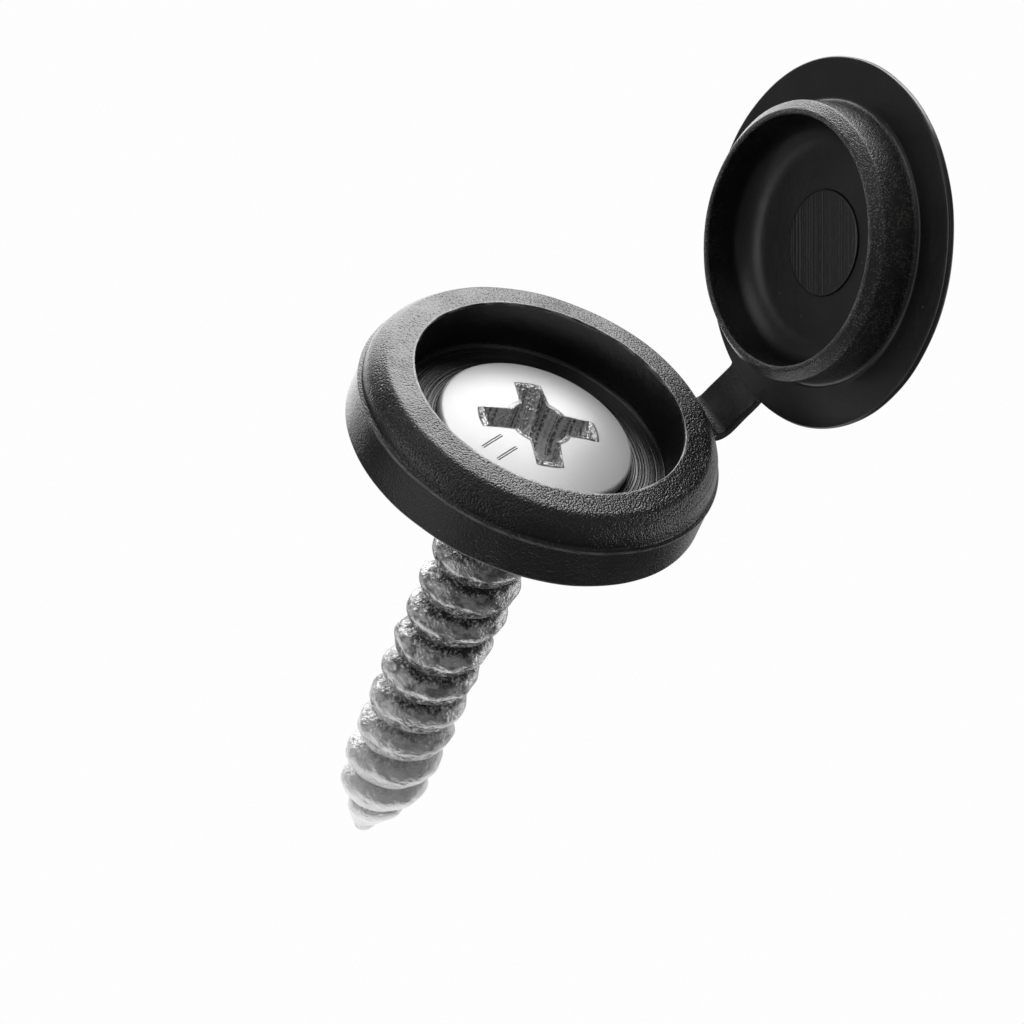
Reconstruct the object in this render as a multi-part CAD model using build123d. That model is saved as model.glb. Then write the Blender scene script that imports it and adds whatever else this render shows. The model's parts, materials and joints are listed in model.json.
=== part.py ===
"""Hinged screw cover cap, open, with the wood screw that it covers.

The origin is the centre of the base's underside, which bears on the wall or board. +Z runs up
the screw's axis towards its head, and the strap and the lid lie on the +X side. All sizes are
in millimetres. The lid is drawn shut, plug down in the bore, then swung open on the hinge line.
"""

from build123d import *
from math import asin, cos, radians, sin, tan
import os

# Base cup
rim_radius = 7.80
rim_wall = 1.86  # from the rim's side to the bore
band_step = 0.13  # how far the band under the parting ridge stands proud of the rim above it
base_height = 3.42
ridge_drop = 1.37  # from the rim's crest down to the parting ridge
ridge_fall = 0.12  # height of the little ledge that the parting ridge makes
rim_shoulder = 0.80  # drop from the rim's crest to where its side turns upright
rim_slope_width = 0.65
rim_top_fall = 0.12  # how much lower the outer edge of the rim's top is than the bore's edge
rim_side_round = 1.20
rim_crest_round = 0.40
underside_round = 0.15
ridge_round = 0.05
floor_thickness = 1.00
floor_round = 0.15
screw_hole_clearance = 0.15  # around the thread's crest

# Lid
lid_gap = 0.08  # between the rim's crest and the shut lid's flange
flange_inset = 0.05  # how far the flange's edge stands inside the rim's side
flange_thickness = 0.30  # at its edge
flange_crown = 0.95  # how far the middle of the lid's back stands above its edge
flange_face_round = 0.10
flange_back_round = 0.12
plug_clearance = 0.08  # between plug and bore, at the plug's root
plug_draft = 0.04  # how much narrower the plug is at its shoulder
plug_shoulder_width = 0.40  # the sloping shoulder between the plug's tip and its side
plug_shoulder_drop = 0.42
plug_shoulder_round = 0.15
plug_floor_gap = 0.40  # from the plug's tip down to the floor, with the lid shut
plug_wall_tip = 0.63
plug_wall_root = 0.80
plug_tip_round = 0.11
recess_round = 1.10
recess_skin = 0.06  # the recess's floor stands this far in from the flange's face
disc_radius = 2.22
disc_height = 0.12

# Strap and hinge line
strap_width = 2.42
strap_thickness = 0.45
strap_edge_round = 0.10
strap_overhang = 0.97  # from the rim's side to the hinge line
hinge_drop = 0.69  # from the rim's crest down to the hinge line
crease_angle = 40.0  # each half of the strap thins to its edge at this angle to its mid plane
crease_gap = 0.02  # from the hinge line to the edge of each half
strap_root_depth = 0.35  # how deep each half runs into the base or the flange
lid_opening = 94.9  # degrees from shut to the position that is drawn

# Screw
thread_radius = 2.00
thread_depth = 0.58
thread_pitch = 1.80
crest_width = 0.46
flank_width = 0.34  # each flank's share of the pitch, measured along the axis
crest_round = 0.15
thread_foot_radius = 0.72  # the rib is rooted in the core down to this radius
screw_length = 24.30  # under the head to the point
point_length = 4.00
point_bulge_inset = 0.30  # how far the point's bulge stands inside the thread's crest
point_bulge_length = 2.70
thread_start = 3.00  # plain neck between the head and the full thread
thread_runout = 0.80
thread_phase = 0.50  # from the point up to where the rib's crest first crosses +X
envelope_margin = 0.05  # the trimming solid clears the full thread's crest by this
head_radius = 4.27
head_edge_height = 0.55
head_underside_round = 0.22
head_edge_round = 0.22
head_crown = 0.42  # how far the dome rises above the head's edge
recess_span = 4.70
recess_arm = 1.05
recess_arm_taper = 5.0
recess_core_radius = 1.15
recess_foot_radius = 0.75  # the cross's cone narrows to this at full depth
recess_depth = 1.80
recess_azimuth = -15.0
neck_inset = 0.05  # how far the cone under the head stands inside the thread's crest
neck_length = 1.30

bore_radius = rim_radius - rim_wall
ridge_height = base_height - ridge_drop
lid_face_height = base_height + lid_gap
hinge_x = rim_radius + strap_overhang
hinge_z = base_height - hinge_drop
flange_radius = rim_radius - flange_inset
plug_root_radius = bore_radius - plug_clearance
plug_tip_radius = plug_root_radius - plug_draft
plug_height = lid_face_height - floor_thickness - plug_floor_gap
root_radius = thread_radius - thread_depth
neck_radius = thread_radius - neck_inset
point_bulge_radius = thread_radius - point_bulge_inset
point_height = floor_thickness - screw_length
screw_hole_radius = thread_radius + screw_hole_clearance


def turned(corners, crown=0.0):
    """Turns a closed outline about Z. Each corner is (radius, height, rounding).

    With a crown, the outline ends in a dome that rises that far from its last corner to the axis.
    """
    points = [corner[:2] for corner in corners]
    outline = Polyline(*points)
    if crown:
        edge_radius, edge_height = points[-1]
        ball_radius = (edge_radius**2 + crown**2) / (2 * crown)
        half_angle = asin(edge_radius / ball_radius) / 2
        middle = (ball_radius * sin(half_angle), edge_height + crown - ball_radius * (1 - cos(half_angle)))
        top = (0, edge_height + crown)
        outline += ThreePointArc(points[-1], middle, top) + Line(top, points[0])
    else:
        outline += Line(points[-1], points[0])
    face = make_face(outline)
    for x, y, rounding in corners:
        if rounding:
            face = fillet(face.vertices().sort_by_distance((x, y))[0], rounding)
    return revolve(Plane.XZ * face, Axis.Z)


def strap_half(end_x, end_z, end_depth):
    """Half of the strap, from the hinge line to (end_x, end_z) and end_depth further.

    It thins to an edge at the hinge line, on both faces, so that the two halves fold on it.
    """
    run = Vector(end_x - hinge_x, 0, end_z - hinge_z)
    along = run.normalized()
    half = strap_thickness / 2
    full = crease_gap + half / tan(radians(crease_angle))
    end = run.length + end_depth
    outline = Polyline((crease_gap, 0), (full, half), (end, half), (end, -half), (full, -half), close=True)
    plane = Plane(origin=(hinge_x, strap_width / 2, hinge_z), x_dir=along, z_dir=(0, -1, 0))
    half_strap = extrude(plane * make_face(outline), amount=strap_width)
    long_edges = half_strap.edges().filter_by(lambda edge: abs(edge.tangent_at(0.5).dot(along)) > 0.999)
    return fillet(long_edges, strap_edge_round)


def strap_direction():
    """Unit vector from the hinge line to the flange's edge, with the lid shut."""
    end_x, end_z = flange_strap_end()
    return Vector(end_x - hinge_x, 0, end_z - hinge_z).normalized()


def flange_strap_end():
    """Where the strap's mid plane meets the edge of the shut lid's flange."""
    return flange_radius - flange_face_round, lid_face_height + strap_thickness / 2


def base_strap_end():
    """Where the strap's mid plane meets the base: straight on from the lid's half when open."""
    open_direction = strap_direction().rotate(Axis.Y, lid_opening)
    fall = open_direction.Z / open_direction.X * strap_overhang
    return rim_radius, hinge_z - fall


def cover_base():
    """The cup: floor with the screw hole, bore, broad rounded rim, and its half of the strap."""
    band_radius = rim_radius + band_step
    slope_radius = rim_radius - rim_slope_width
    cup = turned(
        [
            (screw_hole_radius, 0, 0),
            (band_radius, 0, underside_round),
            (band_radius, ridge_height - ridge_fall, ridge_round),
            (rim_radius, ridge_height, 0),
            (rim_radius, base_height - rim_shoulder, rim_side_round),
            (slope_radius, base_height - rim_top_fall, rim_crest_round),
            (bore_radius, base_height, 0),
            (bore_radius, floor_thickness, floor_round),
            (screw_hole_radius, floor_thickness, 0),
        ]
    )
    end_x, end_z = base_strap_end()
    return cup + strap_half(end_x, end_z, strap_root_depth)


def cover_lid():
    """The lid: thin flange with a domed back, plug ring, recess with a disc, half of the strap."""
    plug_inner_tip = plug_tip_radius - plug_wall_tip
    plug_inner_root = plug_root_radius - plug_wall_root
    shell = turned(
        [
            (0, recess_skin, 0),
            (plug_inner_root, recess_skin, recess_round),
            (plug_inner_tip, -plug_height, plug_tip_round),
            (plug_tip_radius - plug_shoulder_width, -plug_height, plug_shoulder_round),
            (plug_tip_radius, plug_shoulder_drop - plug_height, plug_shoulder_round),
            (plug_root_radius, 0, 0),
            (flange_radius, 0, flange_face_round),
            (flange_radius, flange_thickness, flange_back_round),
        ],
        crown=flange_crown,
    )
    disc = Pos(0, 0, recess_skin - disc_height) * Cylinder(
        disc_radius, disc_height + flange_thickness, align=(Align.CENTER, Align.CENTER, Align.MIN)
    )
    shut = Pos(0, 0, lid_face_height) * (shell + disc)
    strap_top = lid_face_height + strap_thickness
    above_strap = Pos(hinge_x, 0, strap_top) * Box(
        2 * strap_overhang + 4 * strap_root_depth,
        2 * strap_width,
        strap_width,
        align=(Align.CENTER, Align.CENTER, Align.MIN),
    )
    shut += strap_half(*flange_strap_end(), strap_root_depth) - above_strap
    hinge_line = Axis((hinge_x, 0, hinge_z), (0, 1, 0))
    return shut.rotate(hinge_line, lid_opening)


def cross_recess():
    """The driver's cross: four arms and a round middle, inside a cone that narrows downwards."""
    top = floor_thickness + head_edge_height + head_crown
    arms = Rectangle(recess_span, recess_arm) + Rectangle(recess_arm, recess_span)
    outline = arms + Circle(recess_core_radius)
    cross = extrude(Pos(0, 0, top) * outline, amount=-recess_depth, taper=recess_arm_taper)
    cone = Pos(0, 0, top - recess_depth / 2) * Cone(recess_foot_radius, recess_span / 2, recess_depth)
    return (cross & cone).rotate(Axis.Z, recess_azimuth)


def screw_core():
    """Head and shank without the thread."""
    body = turned(
        [
            (0, point_height, 0),
            (root_radius * point_bulge_radius / thread_radius, point_height + point_bulge_length, 0),
            (root_radius, point_height + point_length, 0),
            (root_radius, floor_thickness - neck_length, 0),
            (neck_radius, floor_thickness, 0),
            (head_radius, floor_thickness, head_underside_round),
            (head_radius, floor_thickness + head_edge_height, head_edge_round),
        ],
        crown=head_crown,
    )
    return body - cross_recess()


def thread_envelope():
    """The solid that trims the thread's rib: run-out under the head, full body, point."""
    full_top = floor_thickness - thread_start
    clear_radius = thread_radius + envelope_margin
    return turned(
        [
            (0, point_height, 0),
            (point_bulge_radius, point_height + point_bulge_length, 0),
            (clear_radius, point_height + point_length, 0),
            (clear_radius, full_top, 0),
            (root_radius, full_top + thread_runout, 0),
            (0, full_top + thread_runout, 0),
        ]
    )


def thread_rib():
    """The right-hand rib, wound past both ends of its envelope and trimmed by it."""
    start = point_height + thread_phase - thread_pitch
    top = floor_thickness - thread_start + thread_runout + thread_pitch
    helix = Helix(thread_pitch, top - start, thread_radius, center=(0, 0, start))
    foot_depth = thread_radius - thread_foot_radius
    half_crest = crest_width / 2
    half_root = half_crest + flank_width
    profile = FilletPolyline(
        (0, half_crest),
        (-thread_depth, half_root),
        (-foot_depth, half_root),
        (-foot_depth, -half_root),
        (-thread_depth, -half_root),
        (0, -half_crest),
        radius=[crest_round, 0, 0, 0, 0, crest_round],
        close=True,
    )
    plane = Plane(origin=helix @ 0, x_dir=(1, 0, 0), z_dir=helix % 0)
    return sweep(plane * make_face(profile), path=helix, is_frenet=True) & thread_envelope()


def screw():
    """Domed head, cross recess and neck, with the coarse thread down to the point."""
    return screw_core() + thread_rib()


os.makedirs("parts", exist_ok=True)
for name, part in (("cover_base", cover_base()), ("cover_lid", cover_lid()), ("screw", screw())):
    export_step(part, f"parts/{name}.step")
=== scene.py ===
"""Hinged screw cover cap, open, with its wood screw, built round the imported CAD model.

The frame is the CAD model's: the origin is the centre of the cup's underside, +Z runs up the
screw's axis towards its head, and the strap and the lid lie on the +X side. Sizes are worked out
in millimetres and written to the meshes in metres. The lid is shaped shut and swung open.
"""

import json
import math
from types import SimpleNamespace

import bmesh
import bpy
import numpy as np
from mathutils import Matrix, Vector, noise


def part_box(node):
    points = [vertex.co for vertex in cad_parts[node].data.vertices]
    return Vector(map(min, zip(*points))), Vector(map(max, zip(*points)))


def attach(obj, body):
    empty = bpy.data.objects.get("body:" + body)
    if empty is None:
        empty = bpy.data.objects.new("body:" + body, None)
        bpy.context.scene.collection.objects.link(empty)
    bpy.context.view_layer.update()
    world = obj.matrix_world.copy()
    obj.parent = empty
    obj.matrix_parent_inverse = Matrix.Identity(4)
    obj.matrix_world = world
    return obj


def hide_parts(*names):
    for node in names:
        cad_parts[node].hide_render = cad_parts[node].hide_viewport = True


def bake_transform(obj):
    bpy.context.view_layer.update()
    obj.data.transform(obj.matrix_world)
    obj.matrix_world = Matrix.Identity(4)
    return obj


bl_info = {
    "name": "Screw cover cap",
    "version": (1, 0, 0),
    "blender": (4, 5, 0),
    "location": "3D View > Sidebar > Screw cap",
    "description": "Builds a hinged screw cover cap, its wood screw and a small white studio",
    "category": "Object",
}

MM = 0.001
NOISE_SEED = 12
SEGMENTS = 240
DOME_INSET = 0.22
WHITE = (1.0, 1.0, 1.0, 1.0)

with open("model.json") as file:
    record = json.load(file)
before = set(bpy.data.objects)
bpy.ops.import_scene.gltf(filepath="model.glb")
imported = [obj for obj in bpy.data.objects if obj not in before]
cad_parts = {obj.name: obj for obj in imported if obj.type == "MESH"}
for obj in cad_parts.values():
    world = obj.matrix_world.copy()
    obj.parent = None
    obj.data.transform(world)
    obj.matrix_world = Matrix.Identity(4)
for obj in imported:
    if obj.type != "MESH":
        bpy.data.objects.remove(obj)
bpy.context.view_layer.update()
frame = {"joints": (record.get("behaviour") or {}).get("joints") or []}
cup_box = [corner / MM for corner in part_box("cover_base")]
lid_box = [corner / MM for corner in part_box("cover_lid")]
screw_box = [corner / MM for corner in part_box("screw")]
hinge = frame["joints"][0]
hinge_point = [value / MM for value in hinge["pos_m"]]
shut_angle = math.radians(hinge["range_deg"][0])


# Properties


def length(name, description, millimetres):
    """A length property, given in millimetres and held in metres."""
    return bpy.props.FloatProperty(
        name=name,
        description=description,
        default=millimetres * MM,
        unit="LENGTH",
        subtype="DISTANCE",
        precision=5,
    )


def angle(name, description, degrees):
    """An angle property, given in degrees and held in radians."""
    return bpy.props.FloatProperty(
        name=name,
        description=description,
        default=math.radians(degrees),
        unit="ROTATION",
        subtype="ANGLE",
    )


def share(name, description, value):
    """A plain number between nothing and all."""
    return bpy.props.FloatProperty(
        name=name, description=description, default=value, min=0.0, max=1.0, subtype="FACTOR"
    )


def strength(name, description, value):
    """A brightness, where 1 is the white of the backdrop."""
    return bpy.props.FloatProperty(name=name, description=description, default=value, min=0.0)


def colour(name, description, value):
    """A linear colour."""
    return bpy.props.FloatVectorProperty(
        name=name, description=description, default=value, size=3, min=0.0, max=1.0, subtype="COLOR"
    )


class CupSizes(bpy.types.PropertyGroup):
    band_radius: length("Band radius", "Outer radius of the band under the ridge", cup_box[1].y)
    height: length("Height", "Height of the rim's crest over the underside", 3.42)
    rim_radius: length("Rim radius", "Radius of the rim's upright side, above the ridge", 7.80)
    bore_radius: length("Bore radius", "Radius of the opening that the lid's plug fits", 5.94)
    ridge_drop: length("Ridge drop", "From the rim's crest down to the parting ridge", 1.37)
    bead: length("Ridge bead", "How far the thin flash on the parting ridge stands proud", 0.05)
    shoulder_drop: length("Shoulder drop", "From the crest down to the rim's upright side", 0.80)
    slope_width: length("Slope width", "Width of the rim's outer slope, seen from above", 0.65)
    top_fall: length("Top fall", "How much lower the rim's top is at its outer edge", 0.12)
    floor: length("Floor", "Thickness of the floor that the screw's head bears on", 1.00)
    hole_radius: length("Hole radius", "Radius of the hole that the screw passes through", 2.15)
    floor_ring_depth: length("Floor rings", "Depth of the fine turned rings in the floor", 0.020)


class LidSizes(bpy.types.PropertyGroup):
    radius: length("Flange radius", "Outer radius of the lid's flange", lid_box[1].y)
    face_height: length("Face height", "Height of the shut flange's face over the underside", 3.50)
    thickness: length("Flange thickness", "Thickness of the flange at its edge", 0.30)
    crown: length("Crown", "How far the middle of the lid's back stands above its edge", 0.95)
    plug_root_radius: length("Plug root radius", "Outer radius of the plug at the flange", 5.86)
    plug_shoulder_radius: length("Shoulder radius", "Outer radius of the plug's shoulder", 5.82)
    shoulder_width: length("Shoulder width", "Width of the slope at the plug's tip", 0.40)
    shoulder_drop: length("Shoulder drop", "Height of the slope at the plug's tip", 0.42)
    plug_height: length("Plug height", "How far the plug stands out of the flange's face", 2.10)
    plug_wall_root: length("Plug wall, root", "Thickness of the plug's wall at the flange", 0.80)
    plug_wall_tip: length("Plug wall, tip", "Thickness of the plug's wall at its shoulder", 0.63)
    disc_radius: length("Disc radius", "Radius of the raised disc in the recess", 2.22)
    disc_height: length("Disc height", "How far the disc stands out of the recess's floor", 0.12)
    recess_skin: length("Recess skin", "From the flange's face in to the recess's floor", 0.06)


class StrapSizes(bpy.types.PropertyGroup):
    width: length("Width", "Width of the strap", 2.42)
    thickness: length("Thickness", "Thickness of the strap", 0.45)
    edge_round: length("Edge round", "Rounding of the strap's long edges", 0.12)
    root_height: length("Root height", "Height of the strap's middle where it leaves the cup", 1.60)
    bend_out: length("Bend", "From the screw's axis out to the strap's bend", 8.85)
    bend_round: length("Bend radius", "Radius of the strap's bend", 0.70)
    lid_out: length("Lid, out", "From the screw's axis out to where the strap enters the lid", 9.83)
    lid_height: length("Lid, up", "Height at which the strap enters the lid", 3.60)
    end_out: length("End, out", "From the screw's axis out to the strap's end in the lid", 9.93)
    end_height: length("End, up", "Height of the strap's end in the lid", 4.55)
    root_flare: length("Root flare", "How much wider the strap is on each side at its roots", 0.30)


class ScrewSizes(bpy.types.PropertyGroup):
    head_radius: length("Head radius", "Radius of the screw's head", screw_box[1].y)
    seat_height: length("Seat height", "Height of the head's underside, on the cup's floor", 1.00)
    edge_height: length("Edge height", "Height of the head's side", 0.55)
    crown: length("Crown", "How far the dome rises above the head's edge", 0.42)
    recess_radius: length("Recess radius", "From the axis to the end of a recess arm", 2.52)
    recess_arm: length("Recess arm", "Width of a recess arm at the top", 1.16)
    recess_core: length("Recess core", "Radius of the recess's round middle", 1.22)
    recess_foot: length("Recess foot", "Radius of the recess's cone at its full depth", 0.75)
    recess_depth: length("Recess depth", "Depth of the recess", 1.80)
    recess_turn: angle("Recess turn", "Turn of the recess about the screw's axis", -15.0)
    neck_radius: length("Neck radius", "Radius of the cone under the head", 1.95)
    neck_length: length("Neck length", "Length of the cone under the head", 1.30)
    root_radius: length("Root radius", "Radius at the bottom of the thread", 1.28)
    crest_radius: length("Crest radius", "Radius over the thread's crests", 2.12)
    pitch: length("Pitch", "From one turn of the thread to the next", 1.80)
    phase: length("Phase", "From the point up to the crest's first crossing of +X", 0.50)
    point_height: length("Point height", "Height of the point, under the cup", screw_box[0].z)
    point_length: length("Point length", "Length of the point's taper", 4.00)
    bulge_length: length("Bulge length", "From the point to where its taper slows", 2.70)
    bulge_radius: length("Bulge radius", "Radius where the point's taper slows", 1.70)


class PlasticLook(bpy.types.PropertyGroup):
    black: colour("Black", "Colour of the moulded plastic", (0.0060, 0.0060, 0.0064))
    worn: colour("Worn", "Colour of scuffed edges and of dust specks", (0.105, 0.102, 0.098))
    warm: colour("Disc", "Slightly warmer black of the lid's disc", (0.0095, 0.0090, 0.0080))
    # Light colour that paints the highlights on the bore's edge and the ridge's bead, and colours
    # the dust flecks on the lid's plug.
    flash: colour("Flash", "Colour of the scraped parting flash", (0.30, 0.295, 0.265))
    roughness: share("Roughness", "Roughness of the moulded surface", 0.30)
    gloss: strength("Gloss", "Refractive index of the plastic's skin", 1.80)
    grain_size: length("Grain size", "Width of one cell of the cup's leathery grain", 0.088)
    fine_grain_size: length("Fine grain size", "Width of one cell of the lid's finer grain", 0.065)
    grain_height: length("Grain height", "Height of the leathery grain", 0.024)
    ripple: length("Ripple", "Height of the faint waves in the moulded surface", 0.012)


class ZincLook(bpy.types.PropertyGroup):
    bright: colour("Zinc", "Colour of the bright plating on the thread", (0.84, 0.84, 0.85))
    scored: colour("Scored", "Colour of the short scored marks on the head", (0.01, 0.01, 0.01))
    satin: colour("Head", "Colour of the satin plating on the head", (0.84, 0.84, 0.845))
    # Dark colour painted as shade in the thread's gaps and under its crests; also the dull stains on
    # the turns and the recess's scored marks.
    dull: colour("Dull zinc", "Colour of the dark grit in the thread's gaps", (0.07, 0.07, 0.074))
    roughness: share("Roughness", "Roughness of the plating on the head", 0.38)
    thread_roughness: share("Thread roughness", "Roughness of the rolled thread", 0.20)
    recess_roughness: share("Recess roughness", "Roughness of the scored recess", 0.16)
    metal: share("Metal", "How metallic the plating on the thread looks", 0.60)


class StudioSettings(bpy.types.PropertyGroup):
    lens: bpy.props.FloatProperty(
        name="Lens", description="Focal length on a 36 mm sensor", default=123.047, unit="CAMERA"
    )
    aim: bpy.props.FloatVectorProperty(
        name="Aim",
        description="Point that the camera looks at",
        default=(-0.5814 * MM, -1.3792 * MM, -1.88 * MM),
        size=3,
        subtype="XYZ",
        unit="LENGTH",
        precision=6,
    )
    distance: length("Distance", "From the camera to the point that it looks at", 147.305)
    azimuth: angle("Azimuth", "Direction of the camera, from +X towards +Y", -131.116)
    elevation: angle("Elevation", "Height of the camera over the horizon", 37.092)
    roll: angle("Roll", "Lean of the camera about its own line of sight", 24.047)
    backdrop: strength("Backdrop", "Brightness of the floor and the backdrop", 0.985)
    fill: strength("Fill", "Even light from all round", 0.095)
    back: strength("Back wall", "Light of the white wall behind", 0.56)
    softbox: strength("Softbox", "Light of the large softbox, high and behind", 4.2)
    side: strength("Side light", "Light of the panel at the left, behind", 3.4)
    top: strength("Top light", "Light of the panel high at the left", 0.7)
    left: strength("Left light", "Light of the level panel at the left", 1.2)
    under: strength("Under light", "Light of the lower panel at the left, behind", 1.8)
    right: strength("Right light", "Light of the level panel at the right", 1.6)
    low: strength("Low light", "Light of the white card, low at the left", 0.40)
    front: strength("Front light", "Light of the small panel, high at the right", 0.35)
    card: strength("Card", "Light of the white card that lies under the screw's point", 1.2)
    card_radius: length("Card radius", "Radius of the white card under the screw's point", 34.0)


# Shaping


def millimetres(group):
    """The values of a property group, with its lengths in millimetres."""
    values = {}
    for name in group.__annotations__:
        value = getattr(group, name)
        if group.bl_rna.properties[name].unit == "LENGTH":
            value = value / MM if isinstance(value, float) else [part / MM for part in value]
        values[name] = value
    return SimpleNamespace(**values)


def rounded_line(corners, closed, longest):
    """Points along a line of (a, b, rounding) corners, with an arc round each of its corners.

    Its points stand no further apart than the longest run, and its arcs have short steps.
    """
    arc_step = math.radians(11)
    points = []
    for index, (a, b, rounding) in enumerate(corners):
        corner = np.array((a, b))
        end_of_line = not closed and index in (0, len(corners) - 1)
        if end_of_line or not rounding:
            points.append(corner)
            continue
        back = np.array(corners[index - 1][:2]) - corner
        back /= np.linalg.norm(back)
        ahead = np.array(corners[(index + 1) % len(corners)][:2]) - corner
        ahead /= np.linalg.norm(ahead)
        half = math.acos(float(np.clip(back @ ahead, -1, 1))) / 2
        inward = (back + ahead) / np.linalg.norm(back + ahead)
        centre = corner + inward * rounding / math.sin(half)
        start = corner + back * rounding / math.tan(half) - centre
        end = corner + ahead * rounding / math.tan(half) - centre
        first = math.atan2(start[1], start[0])
        sweep = (math.atan2(end[1], end[0]) - first + math.pi) % math.tau - math.pi
        count = max(3, math.ceil(abs(sweep) / arc_step) + 1)
        for turn in np.linspace(first, first + sweep, count):
            points.append(centre + rounding * np.array((math.cos(turn), math.sin(turn))))
    if closed:
        points.append(points[0])
    filled = []
    for here, there in zip(points[:-1], points[1:]):
        parts = max(1, math.ceil(np.linalg.norm(there - here) / longest))
        filled += [here + (there - here) * part / parts for part in range(parts)]
    if not closed:
        filled.append(points[-1])
    return np.array(filled)


def turned_rings(outline):
    """A ring of points about Z for each (radius, height) point of an outline."""
    turn = np.linspace(0, math.tau, SEGMENTS, endpoint=False)
    radius = outline[:, :1]
    height = np.repeat(outline[:, 1:], SEGMENTS, axis=1)
    return np.stack([radius * np.cos(turn), radius * np.sin(turn), height], axis=-1)


def uneven(points, cell, amount):
    """The points, each nudged by smooth noise of that cell size."""
    noise.seed_set(NOISE_SEED)
    flat = points.reshape(-1, 3)
    nudges = [noise.noise_vector(Vector(point / cell)) for point in flat]
    return (flat + amount * np.array(nudges)).reshape(points.shape)


def new_object(name, data):
    """A new object, put in the scene."""
    placed = bpy.data.objects.new(name, data)
    bpy.context.scene.collection.objects.link(placed)
    return placed


def skin(name, rings, poles=None):
    """A mesh object over rings of points in millimetres.

    With poles, a point closes each end. Without them, the last ring joins the first.
    """
    count, columns = rings.shape[:2]
    points = rings.reshape(-1, 3)
    last = count if poles is None else count - 1
    faces = []
    for row in range(last):
        here = row * columns
        there = ((row + 1) % count) * columns
        for column in range(columns):
            beside = (column + 1) % columns
            faces.append((here + column, here + beside, there + beside, there + column))
    if poles is not None:
        points = np.vstack([points, poles])
        first_pole = count * columns
        end = (count - 1) * columns
        for column in range(columns):
            beside = (column + 1) % columns
            faces.append((first_pole, beside, column))
            faces.append((first_pole + 1, end + column, end + beside))
    mesh = bpy.data.meshes.new(name)
    mesh.from_pydata((points * MM).tolist(), [], faces)
    work = bmesh.new()
    work.from_mesh(mesh)
    bmesh.ops.recalc_face_normals(work, faces=work.faces)
    work.to_mesh(mesh)
    work.free()
    mesh.shade_smooth()
    piece = new_object(name, mesh)
    piece.modifiers.new("Even shading", "WEIGHTED_NORMAL")
    return piece


def mark(piece, name, kind, values):
    """Stores a value for each point of a piece, for its material to read."""
    attribute = piece.data.attributes.new(name, kind, "POINT")
    field = "vector" if kind == "FLOAT_VECTOR" else "value"
    attribute.data.foreach_set(field, np.asarray(values, np.float32).ravel())


def swung_open(points):
    """Points of the shut lid, swung open about the hinge line."""
    turn = -shut_angle
    x = points[..., 0] - hinge_point[0]
    z = points[..., 2] - hinge_point[2]
    opened = points.copy()
    opened[..., 0] = hinge_point[0] + x * math.cos(turn) + z * math.sin(turn)
    opened[..., 2] = hinge_point[2] - x * math.sin(turn) + z * math.cos(turn)
    return opened


def smooth_step(value, low, high):
    """0 below low, 1 above high, and a smooth rise between them."""
    t = np.clip((value - low) / (high - low), 0, 1)
    return t * t * (3 - 2 * t)


# Shader maths


class Wire:
    """A shader socket that can be used in arithmetic: each operator adds a Math node."""

    def __init__(self, finish, socket):
        self.finish = finish
        self.socket = socket

    def work(self, operation, *values):
        """A Math node on numbers and wires."""
        return self.finish.add("ShaderNodeMath", {"operation": operation}, dict(enumerate(values)))

    def __add__(self, other):
        return self.work("ADD", self, other)

    def __radd__(self, other):
        return self.work("ADD", other, self)

    def __sub__(self, other):
        return self.work("SUBTRACT", self, other)

    def __rsub__(self, other):
        return self.work("SUBTRACT", other, self)

    def __mul__(self, other):
        return self.work("MULTIPLY", self, other)

    def __rmul__(self, other):
        return self.work("MULTIPLY", other, self)

    def __pow__(self, other):
        return self.work("POWER", self, other)

    def size(self):
        """The value without its sign."""
        return self.work("ABSOLUTE", self)

    def between(self, low, high):
        """0 where the value is at low or beyond it, 1 at high, with a smooth step between."""
        return self.finish.add(
            "ShaderNodeMapRange",
            {"interpolation_type": "SMOOTHSTEP"},
            {"Value": self, "From Min": low, "From Max": high},
        )


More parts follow.
